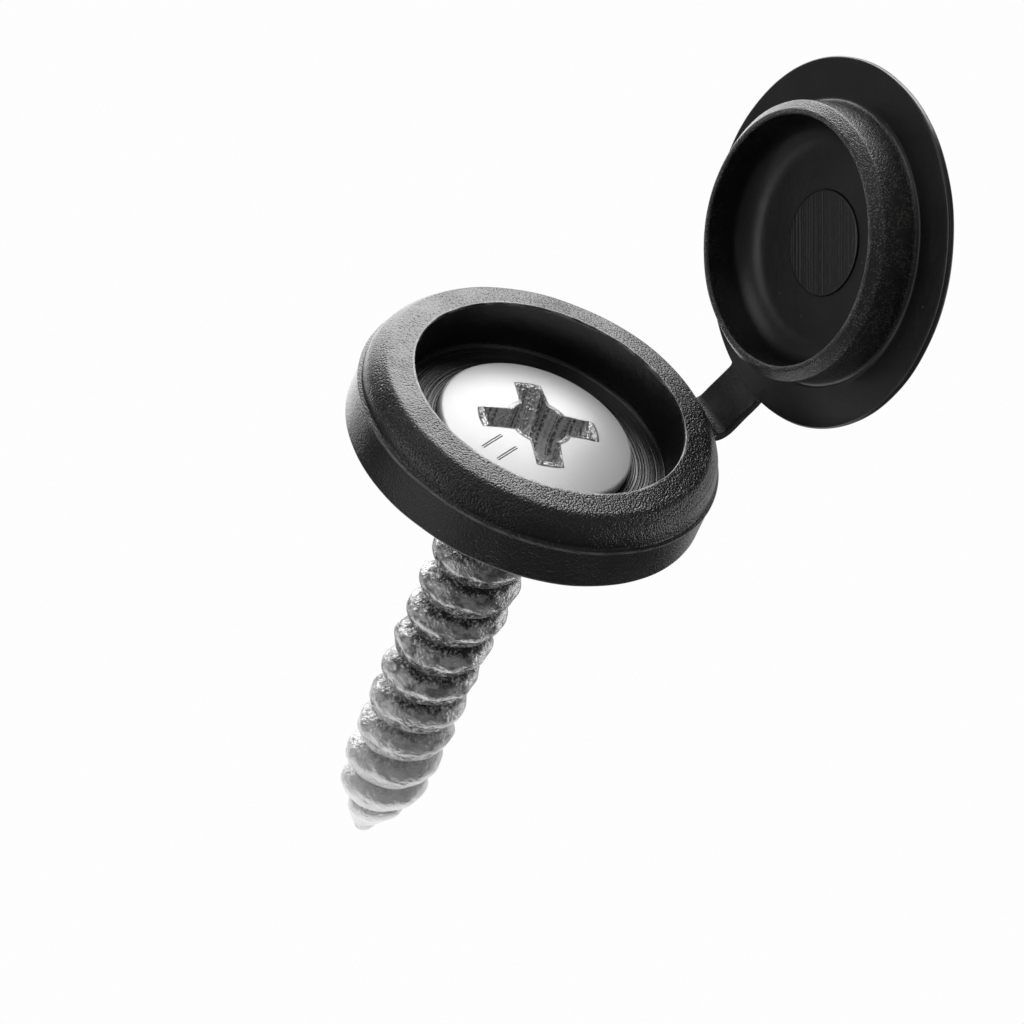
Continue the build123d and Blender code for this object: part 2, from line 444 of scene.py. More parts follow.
class Finish:
    """The node tree of one material or of the world, and what is used to fill it."""

    # The Mix node's places for two colours and for what they give
    FIRST_COLOUR = 6
    SECOND_COLOUR = 7
    MIXED_COLOUR = 2

    def __init__(self, tree):
        self.tree = tree
        tree.nodes.clear()

    def add(self, kind, settings, sockets, output=0):
        """Adds a node with its settings, then its sockets' values or links, and gives one output."""
        node = self.tree.nodes.new(kind)
        for name, value in settings.items():
            setattr(node, name, value)
        for key, value in sockets.items():
            if isinstance(value, Wire):
                self.tree.links.new(value.socket, node.inputs[key])
            else:
                node.inputs[key].default_value = value
        return Wire(self, node.outputs[output]) if node.outputs else None

    def marked(self, name, output):
        """What mark() stored on the piece."""
        return self.add("ShaderNodeAttribute", {"attribute_name": name}, {}, output)

    def part(self, vector, axis):
        """The X, Y or Z of a vector."""
        return self.add("ShaderNodeSeparateXYZ", {}, {"Vector": vector}, axis)

    def scaled(self, vector, scales):
        """A vector with each of its parts multiplied."""
        return self.add("ShaderNodeVectorMath", {"operation": "MULTIPLY"}, {0: vector, 1: scales})

    def span(self, vector):
        """The length of a vector."""
        return self.add("ShaderNodeVectorMath", {"operation": "LENGTH"}, {0: vector}, "Value")

    def along(self, vector, towards):
        """How far a vector goes in a direction."""
        return self.add(
            "ShaderNodeVectorMath", {"operation": "DOT_PRODUCT"}, {0: vector, 1: towards}, "Value"
        )

    def turned_place(self):
        """The marked place on a turned piece, its height and its distance from the axis."""
        place = self.marked("place", "Vector")
        return place, self.part(place, "Z"), self.span(self.scaled(place, (1.0, 1.0, 0.0)))

    def clouds(self, vector, scale, detail=2.0):
        """Smooth noise from 0 to 1."""
        return self.add(
            "ShaderNodeTexNoise", {}, {"Vector": vector, "Scale": scale, "Detail": detail}, "Fac"
        )

    def lines(self, value, scale, detail=2.0):
        """Noise from 0 to 1 along one value, so that it makes lines across it."""
        return self.add(
            "ShaderNodeTexNoise",
            {"noise_dimensions": "1D"},
            {"W": value, "Scale": scale, "Detail": detail},
            "Fac",
        )

    def cells(self, vector, scale):
        """Distance to the middle of the nearest of many scattered cells."""
        return self.add(
            "ShaderNodeTexVoronoi", {}, {"Vector": vector, "Scale": scale}, "Distance"
        )

    def blend(self, factor, first, second):
        """A colour between two colours."""
        sockets = {0: factor}
        for key, value in ((self.FIRST_COLOUR, first), (self.SECOND_COLOUR, second)):
            sockets[key] = value if isinstance(value, Wire) else (*value, 1.0)
        return self.add("ShaderNodeMix", {"data_type": "RGBA"}, sockets, self.MIXED_COLOUR)

    def relief(self, height):
        """The surface's normal, changed by a height in millimetres."""
        return self.add("ShaderNodeBump", {}, {"Strength": 1.0, "Distance": MM, "Height": height})

    def surface(self, **sockets):
        """The material's surface, from the named sockets of its shader."""
        named = {name.replace("_", " "): value for name, value in sockets.items()}
        shader = self.add("ShaderNodeBsdfPrincipled", {}, named)
        self.add("ShaderNodeOutputMaterial", {}, {"Surface": shader})

    def glow(self, strength):
        """White light of a strength."""
        return self.add("ShaderNodeEmission", {}, {"Color": WHITE, "Strength": strength})


# Finishes

# Directions on the pieces, seen from above: unit vectors
COARSE_SIDE = (0.656, -0.755, 0.0)
RUBBED_SIDE = (0.788, -0.616, 0.0)
ACROSS_DISC_BRUSHING = (0.690, 0.724, 0.0)
ACROSS_RECESS_SCORES = (0.87, -0.5, 0.0)
ALONG_HEAD_MARKS = (0.914, 0.407, 0.0)
ACROSS_HEAD_MARKS = (-0.407, 0.914, 0.0)


def new_finish(name, piece):
    """A new material on a piece, and the Finish that fills it."""
    material = bpy.data.materials.new(name)
    material.use_nodes = True
    piece.data.materials.append(material)
    return Finish(material.node_tree)


def leather_grain(finish, place, size, height):
    """Height of the mould's fine leathery grain: small round pebbles, in millimetres."""
    sway = finish.add("ShaderNodeTexNoise", {}, {"Vector": place, "Scale": 0.45 / size}, "Color")
    shift = finish.scaled(sway, (0.9 * size,) * 3)
    bent = finish.add("ShaderNodeVectorMath", {"operation": "ADD"}, {0: place, 1: shift})
    out = finish.cells(bent, 1.0 / size)
    return (1.0 - 1.5 * out * out) * height


def specks(finish, place, scale):
    """1 on tiny scattered specks of dust, and 0 elsewhere. A higher scale gives more of them."""
    return finish.cells(place, scale).between(0.055, 0.035)


def cup_finish(piece, look, sizes):
    """Black moulded plastic: leathery rim and side, smooth bore, turned rings on the floor."""
    finish = new_finish("moulded_black_cup", piece)
    place, height, radius = finish.turned_place()
    bore = sizes.bore_radius
    ridge = sizes.height - sizes.ridge_drop
    outside = radius.between(bore + 0.04, bore + 0.16)
    on_floor = (1.0 - outside) * height.between(sizes.floor + 0.35, sizes.floor + 0.10)
    above_ridge = height.between(ridge - 0.15, ridge + 0.15)
    at_crest = height.between(sizes.height - 0.22, sizes.height - 0.04)
    near_bore = radius.between(bore - 0.08, bore + 0.02) * radius.between(bore + 0.14, bore + 0.06)
    on_bead = radius.between(sizes.band_radius + 0.005, sizes.band_radius + 0.03)

    patches = finish.clouds(place, 0.55)
    coarse = finish.along(place, COARSE_SIDE).between(-8.0, 3.0)
    grain = leather_grain(finish, place, look.grain_size, look.grain_height)
    grain = grain * outside * (0.35 + 1.1 * patches) * (0.5 + 0.5 * above_ridge)
    grain = grain * (0.6 + 0.45 * coarse)
    turning_depth = 0.07
    turning = finish.lines(radius, 11.0, detail=3.0)
    rub_depth = 0.05
    rubbed = outside * finish.along(place, RUBBED_SIDE).between(6.6, 7.4)
    rubs = finish.lines(height + 0.5 * finish.clouds(place, 0.35), 9.0, detail=3.0)
    relief = grain + turning_depth * on_floor * turning + rub_depth * rubbed * rubs
    relief = relief + look.ripple * finish.clouds(place, 3.0)

    scuffs = finish.clouds(finish.scaled(place, (1.0, 1.0, 6.0)), 1.3, detail=3.0)
    turned_lines = on_floor * turning.between(0.50, 0.72) * scuffs.between(0.38, 0.60)
    rub_lines = rubbed * rubs.between(0.55, 0.70)
    worn = specks(finish, place, 0.9) + 0.6 * turned_lines + 0.35 * rub_lines
    # Painted highlight: a thin light line along the bore's edge at the crest, broken by scuffs.
    bore_edge_highlight = near_bore * at_crest * scuffs.between(0.46, 0.60)
    # Painted highlight: the ridge's bead is coloured lighter all round, more where scuffed, for the
    # light line along the ridge.
    bead_highlight = on_bead * (0.25 + 0.5 * scuffs.between(0.35, 0.60))
    moulded = finish.blend(worn, look.black, look.worn)
    finish.surface(
        Base_Color=finish.blend(bore_edge_highlight + bead_highlight, moulded, look.flash),
        Roughness=look.roughness + 0.10 * (patches - 0.5) - 0.06 * on_floor,
        IOR=look.gloss,
        Normal=finish.relief(relief),
    )


def lid_finish(piece, look, sizes):
    """Black moulded plastic: leathery plug ring, smooth recess and flange, brushed disc."""
    finish = new_finish("moulded_black_lid", piece)
    place, depth, radius = finish.turned_place()
    inner = sizes.plug_root_radius - sizes.plug_wall_root
    disc = sizes.disc_radius
    on_plug = radius.between(inner + 0.04, inner + 0.20) * depth.between(-0.02, -0.18)
    on_disc = radius.between(disc, disc - 0.06) * depth.between(0.2, 0.0)
    in_recess = radius.between(inner + 0.04, inner - 0.11) * depth.between(0.3, 0.2)
    on_edge = radius.between(sizes.radius - 0.20, sizes.radius - 0.05) * depth.between(0.35, 0.10)

    patches = finish.clouds(place, 0.6)
    grain = leather_grain(finish, place, look.fine_grain_size, 0.85 * look.grain_height)
    grain = grain * (0.06 + on_plug * (0.3 + 0.6 * patches))
    brushing_depth = 0.018
    brushing = finish.lines(finish.along(place, ACROSS_DISC_BRUSHING), 9.0, detail=3.0)
    relief = grain + look.ripple * finish.clouds(place, 2.2) + brushing_depth * on_disc * brushing

    scuffs = finish.clouds(place, 1.6, detail=3.0)
    worn = 2.0 * specks(finish, place, 1.0) + 0.06 * on_edge * scuffs.between(0.42, 0.62)
    worn = worn + 0.12 * on_disc * brushing.between(0.45, 0.75)
    flecks = finish.cells(place, 11.0).between(0.40, 0.26)
    flecks = flecks * finish.clouds(place, 1.1).between(0.32, 0.50)
    plain = finish.blend(on_disc, look.black, look.warm)
    moulded = finish.blend(worn, plain, look.worn)
    finish.surface(
        Base_Color=finish.blend(0.6 * on_plug * flecks, moulded, look.flash),
        Roughness=look.roughness + 0.10 * (patches - 0.5) + 0.12 * in_recess - 0.05 * on_disc,
        IOR=look.gloss,
        Normal=finish.relief(relief),
    )


def strap_finish(piece, look):
    """Black moulded plastic: smooth faces, gritty lighter long edges."""
    finish = new_finish("moulded_black_strap", piece)
    place = finish.marked("place", "Vector")
    across = finish.part(place, "Y").size()
    long_edge = finish.marked("edge", "Fac")
    grit = finish.clouds(place, 11.0)
    grit_height = 0.03
    grain = leather_grain(finish, place, look.fine_grain_size, look.grain_height)
    relief = 0.25 * grain + grit_height * long_edge * grit + look.ripple * finish.clouds(place, 2.5)
    worn = 0.35 * long_edge * grit.between(0.45, 0.65) + 0.02 * across
    finish.surface(
        Base_Color=finish.blend(worn, look.black, look.worn),
        Roughness=look.roughness + 0.08 * (finish.clouds(place, 1.5) - 0.5),
        IOR=look.gloss,
        Normal=finish.relief(relief),
    )


def head_marks(finish, place):
    """1 on two pairs of short straight scratches that are scored side by side in the head."""
    middle = -0.096
    pair_out = 0.425
    stroke_out = 0.052
    along = finish.along(place, ALONG_HEAD_MARKS)
    across = finish.along(place, ACROSS_HEAD_MARKS)
    from_pair = (across - middle).size() - pair_out
    from_stroke = (from_pair.size() - stroke_out).size()
    ends = along.between(-3.40, -3.34) * along.between(-2.16, -2.22)
    return from_stroke.between(0.034, 0.020) * ends


def screw_finish(piece, look, sizes):
    """Bright zinc: satin head, scored recess, polished turns with painted shade, dark and gritty, in
    the gaps between; the turns near the point are made paler with painted washed-out light.
    """
    finish = new_finish("bright_zinc", piece)
    place = finish.marked("place", "Vector")
    height = finish.part(place, "Z")
    gap = finish.marked("gap", "Fac")
    in_recess = finish.marked("recess", "Fac")
    neck_end = sizes.seat_height - sizes.neck_length
    on_thread = height.between(neck_end + 0.1, neck_end - 0.3)
    above_seat = height.between(sizes.seat_height + 0.2, sizes.seat_height + 0.3)
    # Painted washed-out light: towards the point the turns are made paler and less metallic, and
    # rougher, with less painted gap shade and fewer stains.
    painted_pale_point = (height - sizes.point_height).between(13.0, 3.0)
    marks = head_marks(finish, place) * above_seat * (1.0 - in_recess)

    mottle = finish.clouds(finish.scaled(place, (1.0, 1.0, 1.6)), 1.9, detail=5.0)
    pits = finish.clouds(place, 7.5, detail=3.0)
    scores = finish.lines(finish.along(place, ACROSS_RECESS_SCORES), 5.0, detail=3.0)
    rolling = finish.lines(height + 0.06 * mottle, 7.0, detail=3.0)
    # Painted shade: the thread's gaps and the undersides of its crests are darkened with the dull
    # colour, broken by pits, less towards the point.
    grit = on_thread * gap * (1.0 - 0.85 * painted_pale_point)
    stains = on_thread * mottle.between(0.45, 0.62) * (1.0 - 0.9 * painted_pale_point)
    scored = 0.10 + 0.80 * scores.between(0.42, 0.60) * pits.between(0.38, 0.54)
    dull = 0.9 * grit * pits.between(0.36, 0.52) + 0.64 * stains + in_recess * scored

    relief = 0.006 * finish.clouds(place, 16.0) - 0.03 * marks
    relief = relief + on_thread * (0.045 * pits + 0.16 * mottle + 0.012 * rolling)
    relief = relief + 0.12 * grit * pits + in_recess * (0.14 * pits + 0.06 * scores)
    roughness = look.roughness + on_thread * (look.thread_roughness - look.roughness)
    roughness = roughness + in_recess * (look.recess_roughness - look.roughness)
    roughness = roughness + 0.12 * on_thread * painted_pale_point + 0.10 * grit
    on_head = (1.0 - on_thread) * (1.0 - in_recess)
    zinc = finish.blend(on_thread, look.satin, look.bright)
    plated = finish.blend(dull, zinc, look.dull)
    finish.surface(
        Base_Color=finish.blend(0.96 * marks, plated, look.scored),
        Metallic=look.metal - 0.25 * painted_pale_point - 0.45 * on_head,
        Roughness=roughness,
        Normal=finish.relief(relief),
    )


# Pieces


def cup_rings(sizes):
    """Rings of the cup: floor with its hole, bore, broad rounded rim, ridge with a fine bead."""
    ridge = sizes.height - sizes.ridge_drop
    bead_out = sizes.band_radius + sizes.bead
    bead_foot = ridge - 0.20
    bead_bottom = ridge - 0.16
    bead_top = ridge - 0.08
    shoulder = sizes.height - sizes.shoulder_drop
    slope_top = sizes.rim_radius - sizes.slope_width
    hole_round = 0.04
    foot_round = 0.15
    bead_round = 0.03
    bead_tip_round = 0.02
    shoulder_round = 1.10
    crest_round = 0.38
    lip_round = 0.06
    outline = rounded_line(
        [
            (sizes.hole_radius, 0.0, hole_round),
            (sizes.band_radius, 0.0, foot_round),
            (sizes.band_radius, bead_foot, bead_round),
            (bead_out, bead_bottom, bead_tip_round),
            (bead_out, bead_top, bead_round),
            (sizes.rim_radius + 0.02, ridge - 0.01, bead_round),
            (sizes.rim_radius, ridge + 0.05, bead_round),
            (sizes.rim_radius, shoulder, shoulder_round),
            (slope_top, sizes.height - sizes.top_fall, crest_round),
            (sizes.bore_radius, sizes.height, lip_round),
            (sizes.bore_radius, sizes.floor, foot_round),
            (sizes.hole_radius, sizes.floor, hole_round),
        ],
        closed=True,
        longest=0.12,
    )
    first_ring = 4.5
    last_ring = 5.75
    ring_pitch = 0.25
    radius = outline[:, 0]
    on_floor = np.abs(outline[:, 1] - sizes.floor) < 0.01
    ringed = on_floor & (radius > first_ring) & (radius < last_ring)
    waves = np.cos((radius[ringed] - first_ring) * math.tau / ring_pitch)
    outline[ringed, 1] += sizes.floor_ring_depth * waves
    return turned_rings(outline)


class CAP_OT_add_cup(bpy.types.Operator):
    """Builds the cup that the screw passes through"""

    bl_idname = "cap.add_cup"
    bl_label = "Add cup"

    def execute(self, context):
        sizes = millimetres(context.scene.cap_cup)
        rings = cup_rings(sizes)
        piece = skin("cap_cup", uneven(rings, cell=1.9, amount=0.022))
        mark(piece, "place", "FLOAT_VECTOR", rings)
        cup_finish(piece, millimetres(context.scene.cap_plastic), sizes)
        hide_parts("cover_base")
        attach(piece, "cap_base")
        return {"FINISHED"}


def lid_rings(sizes):
    """Rings of the shut lid, from the disc's face out round the plug and flange to the back.

    Heights are from the flange's face, and the plug stands down from it. The two points that
    close the disc's face and the back come with the rings.
    """
    disc_face = sizes.recess_skin - sizes.disc_height
    tip = -sizes.plug_height
    inner_tip = sizes.plug_shoulder_radius - sizes.plug_wall_tip
    inner_root = sizes.plug_root_radius - sizes.plug_wall_root
    land = sizes.plug_shoulder_radius - sizes.shoulder_width
    disc_round = 0.03
    disc_foot_round = 0.02
    recess_round = 1.10
    tip_round = 0.12
    shoulder_round = 0.14
    root_round = 0.25
    face_round = 0.10
    back_round = 0.12
    middle = 0.25
    crown_edge = sizes.radius - back_round
    crown = [
        (radius, sizes.thickness + sizes.crown * (1 - (radius / sizes.radius) ** 2), 0.0)
        for radius in np.linspace(crown_edge - 0.1, middle, 40)
    ]
    outline = rounded_line(
        [
            (middle, disc_face, 0.0),
            (sizes.disc_radius, disc_face, disc_round),
            (sizes.disc_radius + 0.02, sizes.recess_skin, disc_foot_round),
            (inner_root, sizes.recess_skin, recess_round),
            (inner_tip, tip, tip_round),
            (land, tip, tip_round),
            (sizes.plug_shoulder_radius, tip + sizes.shoulder_drop, shoulder_round),
            (sizes.plug_root_radius, 0.0, root_round),
            (sizes.radius, 0.0, face_round),
            (sizes.radius, sizes.thickness, back_round),
            *crown,
        ],
        closed=False,
        longest=0.16,
    )
    poles = np.array([(0, 0, disc_face), (0, 0, sizes.thickness + sizes.crown)])
    return turned_rings(outline), poles


class CAP_OT_add_lid(bpy.types.Operator):
    """Builds the snap-in lid, swung open on its hinge line"""

    bl_idname = "cap.add_lid"
    bl_label = "Add lid"

    def execute(self, context):
        sizes = millimetres(context.scene.cap_lid)
        rings, poles = lid_rings(sizes)
        shut = uneven(rings, cell=2.1, amount=0.022) + (0, 0, sizes.face_height)
        shut_poles = poles + (0, 0, sizes.face_height)
        piece = skin("cap_lid_shell", swung_open(shut), swung_open(shut_poles))
        mark(piece, "place", "FLOAT_VECTOR", np.vstack([rings.reshape(-1, 3), poles]))
        lid_finish(piece, millimetres(context.scene.cap_plastic), sizes)
        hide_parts("cover_lid")
        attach(piece, "cap_lid")
        return {"FINISHED"}


def strap_line(sizes):
    """The strap's middle line from the side: its points, and the direction and run at each."""
    root_out = 7.50
    lid_bend_round = 0.80
    line = rounded_line(
        [
            (root_out, sizes.root_height, 0.0),
            (sizes.bend_out, sizes.root_height, sizes.bend_round),
            (sizes.lid_out, sizes.lid_height, lid_bend_round),
            (sizes.end_out, sizes.end_height, 0.0),
        ],
        closed=False,
        longest=0.06,
    )
    run = np.concatenate([[0], np.cumsum(np.linalg.norm(np.diff(line, axis=0), axis=1))])
    tangent = np.gradient(line, run, axis=0)
    tangent /= np.linalg.norm(tangent, axis=1, keepdims=True)
    return line, tangent, run


def strap_section(sizes):
    """The strap's cross-section, as (across, up) points."""
    across = sizes.width / 2
    up = sizes.thickness / 2
    corners = ((across, up), (-across, up), (-across, -up), (across, -up))
    return rounded_line(
        [(*corner, sizes.edge_round) for corner in corners], closed=True, longest=0.12
    )


def strap_rings(sizes):
    """Rings along the strap, its points laid flat, and how near each is to a long edge.

    The strap is wider at both roots and thins towards its end in the lid.
    """
    line, tangent, run = strap_line(sizes)
    section = strap_section(sizes)
    half_width = sizes.width / 2
    up = section[:, 1]
    flare_full = 0.40
    flare_none = 0.95
    near_cup = 1 - smooth_step(run, flare_full, flare_none)
    near_lid = smooth_step(run, run[-1] - flare_none, run[-1] - flare_full)
    flare = sizes.root_flare * (near_cup + near_lid)
    thinned_length = 1.0
    thinning = 1 - 0.6 * smooth_step(run, run[-1] - thinned_length, run[-1])
    rings = []
    flat = []
    for (x, z), (tx, tz), along, wider, thin in zip(line, tangent, run, flare, thinning):
        across = section[:, 0] * (1 + wider / half_width)
        rings.append(np.stack([x - tz * up * thin, across, z + tx * up * thin], axis=-1))
        flat.append(np.stack([np.full_like(up, along), across, up], axis=-1))
    edge = smooth_step(np.abs(section[:, 0]) / half_width, 0.86, 0.97)
    flat_ends = [(run[0], 0, 0), (run[-1], 0, 0)]
    flat = np.vstack([np.concatenate(flat), flat_ends])
    return np.array(rings), flat, np.append(np.tile(edge, len(line)), (0, 0))


class CAP_OT_add_strap(bpy.types.Operator):
    """Builds the flexible strap between the cup and the lid"""

    bl_idname = "cap.add_strap"
    bl_label = "Add strap"

    def execute(self, context):
        rings, flat, edge = strap_rings(millimetres(context.scene.cap_strap))
        ends = rings[[0, -1]].mean(axis=1)
        piece = skin("cap_strap", uneven(rings, cell=0.8, amount=0.02), ends)
        mark(piece, "place", "FLOAT_VECTOR", flat)
        mark(piece, "edge", "FLOAT", edge)
        strap_finish(piece, millimetres(context.scene.cap_plastic))
        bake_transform(piece)
        return {"FINISHED"}


def recess_outline(sizes, depth, arm_end):
    """The cross recess's outline at a depth, with the same number of points on each of its runs."""
    draft = math.radians(5.0)
    end_count = 10
    side_count = 14
    core_count = 16
    taper = math.tan(draft) * depth
    half = sizes.recess_arm / 2 - taper
    core = sizes.recess_core - taper
    tip_turn = math.asin(half / arm_end)
    core_turn = math.asin(half / core)
    outer = arm_end * math.cos(tip_turn)
    inner = core * math.cos(core_turn)
    arm = []
    for turn in np.linspace(-tip_turn, tip_turn, end_count, endpoint=False):
        arm.append((arm_end * math.cos(turn), arm_end * math.sin(turn)))
    for out in np.linspace(outer, inner, side_count, endpoint=False):
        arm.append((out, half))
    for turn in np.linspace(core_turn, math.pi / 2 - core_turn, core_count, endpoint=False):
        arm.append((core * math.cos(turn), core * math.sin(turn)))
    for out in np.linspace(inner, outer, side_count, endpoint=False):
        arm.append((half, out))
    points = []
    for quarter in range(4):
        turned = math.pi / 2 * quarter + sizes.recess_turn
        cosine = math.cos(turned)
        sine = math.sin(turned)
        points += [(x * cosine - y * sine, x * sine + y * cosine) for x, y in arm]
    return np.array(points)


def dome_height(sizes, radius):
    """Height of the head's dome at a radius."""
    edge = sizes.head_radius
    ball = (edge**2 + sizes.crown**2) / (2 * sizes.crown)
    drop = ball - np.sqrt(ball**2 - radius**2)
    return sizes.seat_height + sizes.edge_height + sizes.crown - drop


def level_ring(outline, height):
    """A ring over (x, y) points, with one height or a height for each."""
    return np.column_stack([outline, np.broadcast_to(height, len(outline))])


def head_rings(sizes):
    """Rings from the foot of the cross recess up its walls and over the dome.

    The dome ends a little in from the head's side, where its rounded edge begins. The number of
    rings in the recess, and the turn of each point about the axis, come with the rings.
    """
    top = sizes.seat_height + sizes.edge_height + sizes.crown
    shallowing = (sizes.recess_radius - sizes.recess_foot) / sizes.recess_depth
    foot_depth = 1.42
    lip_depth = 0.06
    wall_count = 16
    wall_sag = 0.02
    foot = recess_outline(sizes, foot_depth, sizes.recess_radius - shallowing * foot_depth)
    rings = []
    for share_out, depth in ((0.15, 1.78), (0.45, 1.68), (0.75, 1.56), (0.93, 1.47)):
        rings.append(level_ring(foot * share_out, top - depth))
    for depth in np.linspace(foot_depth, lip_depth, wall_count):
        outline = recess_outline(sizes, depth, sizes.recess_radius - shallowing * depth)
        under_dome = dome_height(sizes, np.linalg.norm(outline, axis=1)) - depth * 0.999
        rings.append(level_ring(outline, np.maximum(under_dome, top - depth - wall_sag)))
    lip = recess_outline(sizes, 0.0, sizes.recess_radius)
    lip_grow = 1.030
    for grow, lower in ((1.010, 0.02), (lip_grow, 0.0)):
        height = dome_height(sizes, np.linalg.norm(lip * grow, axis=1)) - lower
        rings.append(level_ring(lip * grow, height))
    recess_count = len(rings)
    turn = np.arctan2(lip[:, 1], lip[:, 0])
    circle = np.column_stack([np.cos(turn), np.sin(turn)]) * (sizes.head_radius - DOME_INSET)
    dome_count = 15
    for part in np.linspace(0, 1, dome_count)[1:]:
        spread = lip * lip_grow * (1 - part) + circle * part
        rings.append(level_ring(spread, dome_height(sizes, np.linalg.norm(spread, axis=1))))
    return rings, recess_count, turn


def thread_profile(sizes, height, turn):
    """How far up its flank the thread is, from 0 in the notch to 1, and turns below the crest."""
    lean = 0.07
    fullness = 0.62
    below = (sizes.point_height + sizes.phase - height) / sizes.pitch + turn / math.tau
    below = (below + 0.5 - lean) % 1.0 - (0.5 - lean)
    part = np.where(below < 0, below / (0.5 - lean), below / (0.5 + lean)) / 2
    return np.clip(np.cos(math.pi * part), 0, 1) ** fullness, below


def thread_lumps(height, turn):
    """Smooth noise round the thread at a height, which makes its turns a little uneven."""
    around = 2.6
    along = 1.7
    places = [(math.cos(a) * around, math.sin(a) * around, height * along) for a in turn]
    return np.array([noise.noise(Vector(place)) for place in places])


def screw_rings(sizes):
    """Rings of the whole screw, and for each point its share of the gap and of the recess."""
    rings, recess_count, turn = head_rings(sizes)
    seat = sizes.seat_height
    neck_end = seat - sizes.neck_length
    edge = sizes.head_radius - DOME_INSET
    edge_round = 0.18
    seat_round = 0.16
    neck_round = 0.10
    side = rounded_line(
        [
            (edge, dome_height(sizes, edge), 0.0),
            (sizes.head_radius, seat + sizes.edge_height, edge_round),
            (sizes.head_radius, seat, seat_round),
            (sizes.neck_radius, seat, neck_round),
            (sizes.root_radius, neck_end, 0.0),
        ],
        closed=False,
        longest=0.30,
    )[1:]
    around = np.column_stack([np.cos(turn), np.sin(turn)])
    for radius, height in side:
        rings.append(level_ring(around * radius, height))
    gaps = [np.zeros(len(turn))] * len(rings)

    # The point's taper: radii of crests and roots at heights over the point
    nose = 0.35
    taper_end = 5.2
    stations = (0.0, nose, sizes.bulge_length, sizes.point_length, taper_end)
    crests = (0.0, 0.42, sizes.bulge_radius, sizes.crest_radius - 0.03, sizes.crest_radius)
    roots = (0.0, 0.36, sizes.root_radius * 0.86, sizes.root_radius, sizes.root_radius)
    point = sizes.point_height
    ring_step = 0.072
    thread_full = -2.1
    thread_none = -0.9
    crest_lumps = 0.10
    body_lumps = 0.012
    for height in np.arange(neck_end - 0.06, point + 0.05, -ring_step):
        crest = np.interp(height - point, stations, crests)
        root = np.interp(height - point, stations, roots)
        crest = root + (crest - root) * (1 - smooth_step(height, thread_full, thread_none))
        profile, below = thread_profile(sizes, height, turn)
        lumps = thread_lumps(height, turn)
        radius = root + (crest - root) * profile * (1 + crest_lumps * lumps)
        radius = radius * (1 + body_lumps * lumps)
        rings.append(level_ring(around * radius[:, None], height))
        under_crest = smooth_step(below, 0.03, 0.14)
        # The gap mark is 1 in the notch and under each crest, where the zinc finish paints shade.
        gaps.append(smooth_step(1 - profile + 0.6 * under_crest, 0.15, 0.60))
    recess = np.zeros((len(rings), len(turn)))
    recess[:recess_count] = 1.0
    return np.array(rings), np.array(gaps), recess


class CAP_OT_add_screw(bpy.types.Operator):
    """Builds the wood screw that is seated in the cup"""

    bl_idname = "cap.add_screw"
    bl_label = "Add screw"

    def execute(self, context):
        sizes = millimetres(context.scene.cap_screw)
        rings, gaps, recess = screw_rings(sizes)
        foot = sizes.seat_height + sizes.edge_height + sizes.crown - sizes.recess_depth
        poles = np.array([(0, 0, foot), (0, 0, sizes.point_height)])
        piece = skin("wood_screw", rings, poles)
        mark(piece, "place", "FLOAT_VECTOR", np.vstack([rings.reshape(-1, 3), poles]))
        mark(piece, "gap", "FLOAT", np.append(gaps.ravel(), (0, 0)))
        mark(piece, "recess", "FLOAT", np.append(recess.ravel(), (1, 0)))
        screw_finish(piece, millimetres(context.scene.cap_zinc), sizes)
        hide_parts("screw")
        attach(piece, "cap_base")
        return {"FINISHED"}


# Studio


def direction(azimuth, elevation):
    """Unit vector at an azimuth from +X towards +Y and an elevation, in radians."""
    return Vector(
        (
            math.cos(elevation) * math.cos(azimuth),
            math.cos(elevation) * math.sin(azimuth),
            math.sin(elevation),
        )
    )


def square(name, half_width, height):
    """A flat square mesh at a height, centred on the screw's axis."""
    corners = ((-1, -1), (1, -1), (1, 1), (-1, 1))
    points = [(x * half_width, y * half_width, height) for x, y in corners]
    mesh = bpy.data.meshes.new(name)
    mesh.from_pydata(points, [], [(0, 1, 2, 3)])
    return mesh


def add_backdrop(name, mesh, look):
    """A plain glowing surface that only the camera sees."""
    backdrop = new_object(name, mesh)
    backdrop.visible_glossy = False
    backdrop.visible_diffuse = False
    backdrop.visible_transmission = False
    backdrop.visible_shadow = False
    finish = new_finish(name + "_white", backdrop)
    finish.add("ShaderNodeOutputMaterial", {}, {"Surface": finish.glow(look.backdrop)})


def add_card(look, height):
    """A glowing card under the screw's point, brightest in its middle, hidden from the camera."""
    card = new_object("point_card", square("point_card", look.card_radius, height))
    card.visible_camera = False
    card.visible_shadow = False
    finish = new_finish("card_white", card)
    place = finish.add("ShaderNodeNewGeometry", {}, {}, "Position")
    out = finish.span(finish.scaled(place, (1.0 / look.card_radius, 1.0 / look.card_radius, 0.0)))
    glow = finish.glow(look.card * out.between(1.0, 0.15) ** 1.5)
    clear = finish.add("ShaderNodeBsdfTransparent", {}, {})
    mixed = finish.add("ShaderNodeMixShader", {}, {0: out.between(1.0, 0.9), 1: clear, 2: glow})
    finish.add("ShaderNodeOutputMaterial", {}, {"Surface": mixed})


